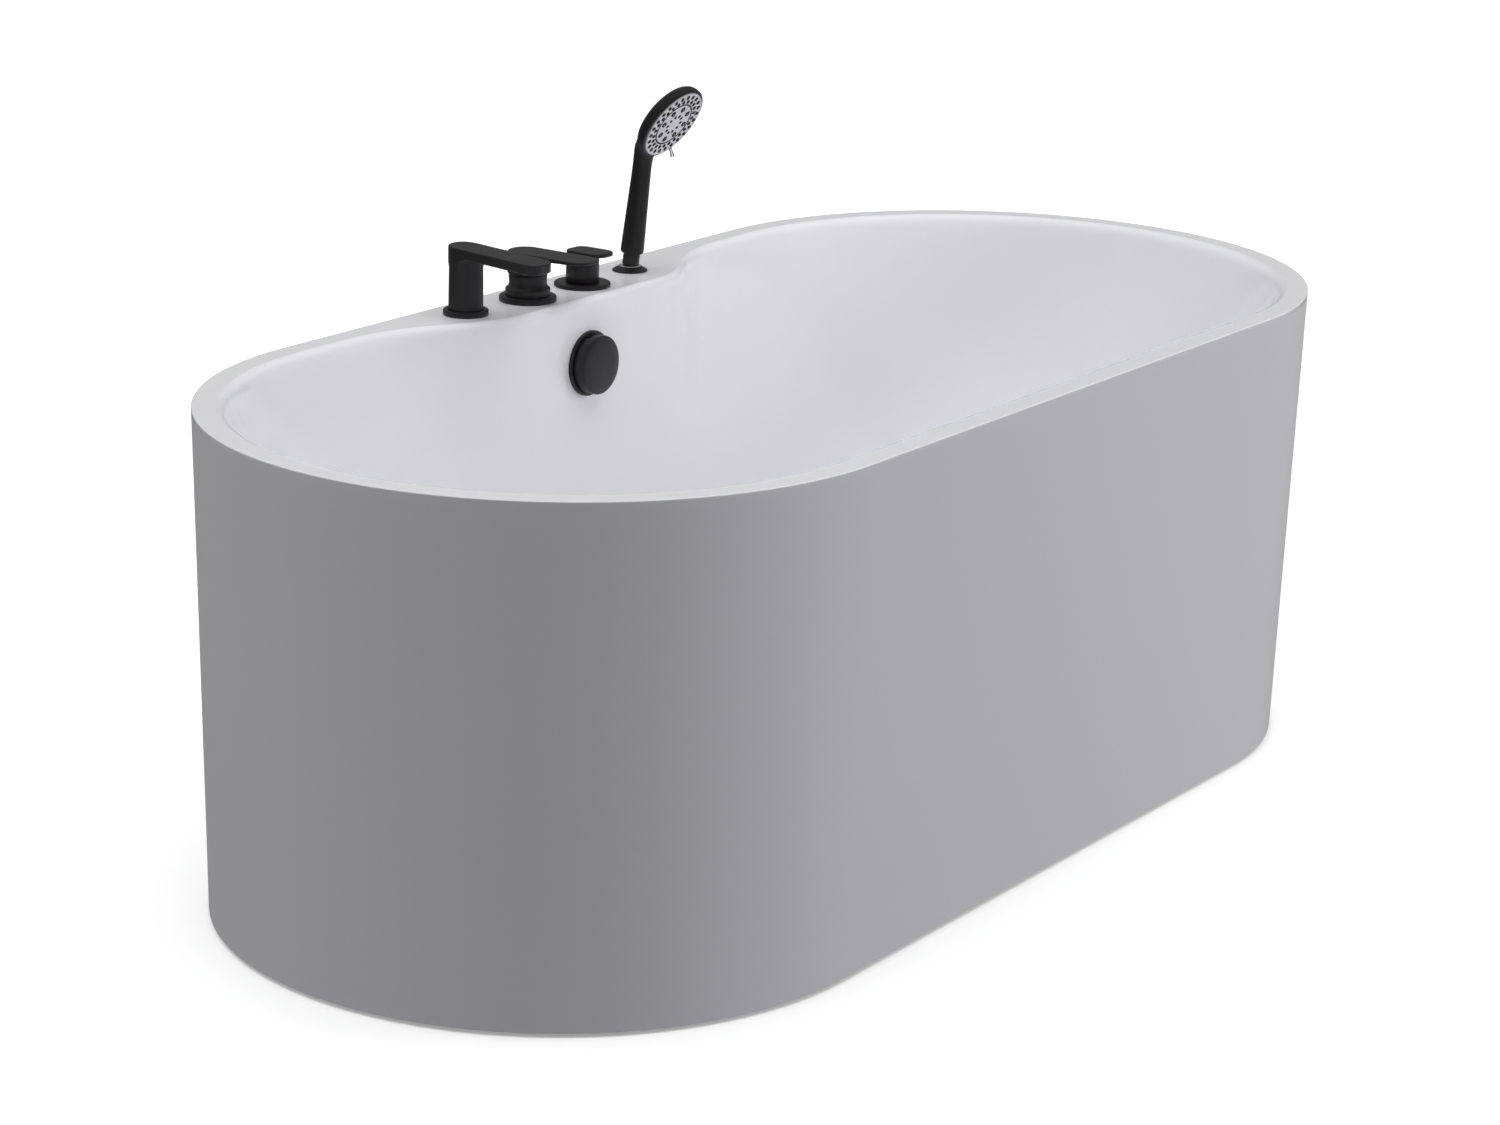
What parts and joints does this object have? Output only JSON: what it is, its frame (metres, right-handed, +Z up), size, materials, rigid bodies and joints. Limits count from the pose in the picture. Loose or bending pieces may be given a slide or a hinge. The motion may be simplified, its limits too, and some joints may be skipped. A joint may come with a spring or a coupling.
{
  "type": "freestanding bathtub",
  "caption": "Freestanding oval bathtub with straight tapered skirt, faucet deck with lever mixer, spout and hand shower, turn-knob overflow.",
  "frame": {"origin": "on the floor under the middle of the tub", "axes": "+X along the tub, +Y towards the side with the fittings, +Z up"},
  "size_m": [1.6996, 0.8, 0.8228],
  "materials": {
    "black_metal": "matte black coated brass",
    "black_plastic": "matte black coated plastic",
    "bowl_acrylic": "glossy white sanitary acrylic",
    "brass_raw": "machined brass",
    "bright_chrome": "polished chrome",
    "foot_plastic": "black moulded plastic",
    "frame_steel": "powder-coated steel",
    "grey_plastic": "moulded plastic",
    "nozzle_silicone": "soft black silicone",
    "pipe_plastic": "white drainage plastic",
    "plywood": "raw plywood with resin",
    "seal_rubber": "black rubber",
    "skirt_acrylic": "satin white acrylic",
    "spray_plate": "satin light grey plastic",
    "zinc_steel": "zinc-plated steel"
  },
  "bodies": {
    "tub": {"basin": "bowl_acrylic", "skirt": "skirt_acrylic", "deck_board": "plywood", "floor_board": "plywood", "frame_rails": "frame_steel", "frame_crosses": "frame_steel", "foot_studs": "zinc_steel", "foot_nuts": "zinc_steel", "foot_pads": "foot_plastic", "skirt_brackets": "frame_steel", "spout_flange": "black_metal", "spout": "black_metal", "spout_aerator": "grey_plastic", "spout_washer": "seal_rubber", "spout_nut": "brass_raw", "mixer_flange": "black_metal", "mixer_body": "black_metal", "mixer_manifold": "brass_raw", "mixer_cartridge": "grey_plastic", "mixer_washer": "seal_rubber", "mixer_nut": "brass_raw", "diverter_flange": "black_metal", "diverter_valve": "black_metal", "diverter_washer": "seal_rubber", "diverter_nut": "brass_raw", "holder_flange": "black_metal", "holder_ring": "bright_chrome", "holder_shank": "black_metal", "holder_washer": "seal_rubber", "holder_nut": "brass_raw", "overflow_flange": "black_metal", "overflow_gasket": "seal_rubber", "overflow_body": "pipe_plastic", "overflow_pipe": "pipe_plastic", "drain_flange": "black_metal", "drain_gasket": "seal_rubber", "drain_body": "pipe_plastic"},
    "mixer_turret": {"mixer_spindle": "brass_raw", "mixer_collar": "black_metal", "mixer_pin": "black_metal"},
    "mixer_handle": {"mixer_lever": "black_metal"},
    "diverter_handle": {"diverter_sleeve": "black_metal", "diverter_spindle": "brass_raw", "diverter_lever": "black_metal"},
    "handset": {"handset_stem": "black_metal", "handset_body": "black_plastic"},
    "spray_dial": {"spray_face": "spray_plate", "spray_nozzles": "nozzle_silicone", "spray_selector": "bright_chrome"},
    "overflow_dial": {"overflow_knob": "black_metal", "overflow_spindle": "brass_raw"},
    "plug": {"plug_cap": "black_metal", "plug_seal": "seal_rubber", "plug_stem": "brass_raw"}
  },
  "joints": [
    {"name": "mixer_turn", "type": "hinge", "parent": "tub", "child": "mixer_turret", "pos_m": [-0.0685, 0.3425, 0.6139], "axis": [0, 0, 1], "range_deg": [-40, 40]},
    {"name": "mixer_lift", "type": "hinge", "parent": "mixer_turret", "child": "mixer_handle", "pos_m": [-0.0685, 0.3555, 0.6284], "axis": [-1, 0, 0], "range_deg": [0, 18]},
    {"name": "diverter_turn", "type": "hinge", "parent": "tub", "child": "diverter_handle", "pos_m": [0.0415, 0.3425, 0.5853], "axis": [0, 0, 1], "range_deg": [0, 90]},
    {"name": "handset_lift", "type": "slide", "parent": "tub", "child": "handset", "axis": [0, -0.1184, 0.993], "range_m": [0, 0.15]},
    {"name": "spray_select", "type": "hinge", "parent": "handset", "child": "spray_dial", "pos_m": [0.1515, 0.288, 0.7735], "axis": [0, 0.8572, 0.515], "range_deg": [0, 56]},
    {"name": "overflow_turn", "type": "hinge", "parent": "tub", "child": "overflow_dial", "pos_m": [-0.0135, 0.28, 0.5], "axis": [0, -1, 0], "range_deg": [0, 90]},
    {"name": "plug_lift", "type": "slide", "parent": "tub", "child": "plug", "axis": [0, 0, 1], "range_m": [0, 0.01]}
  ],
  "couplings": [
    {"joint": "plug_lift", "follows": "overflow_turn", "m_per_rad": 0.0063662}
  ]
}
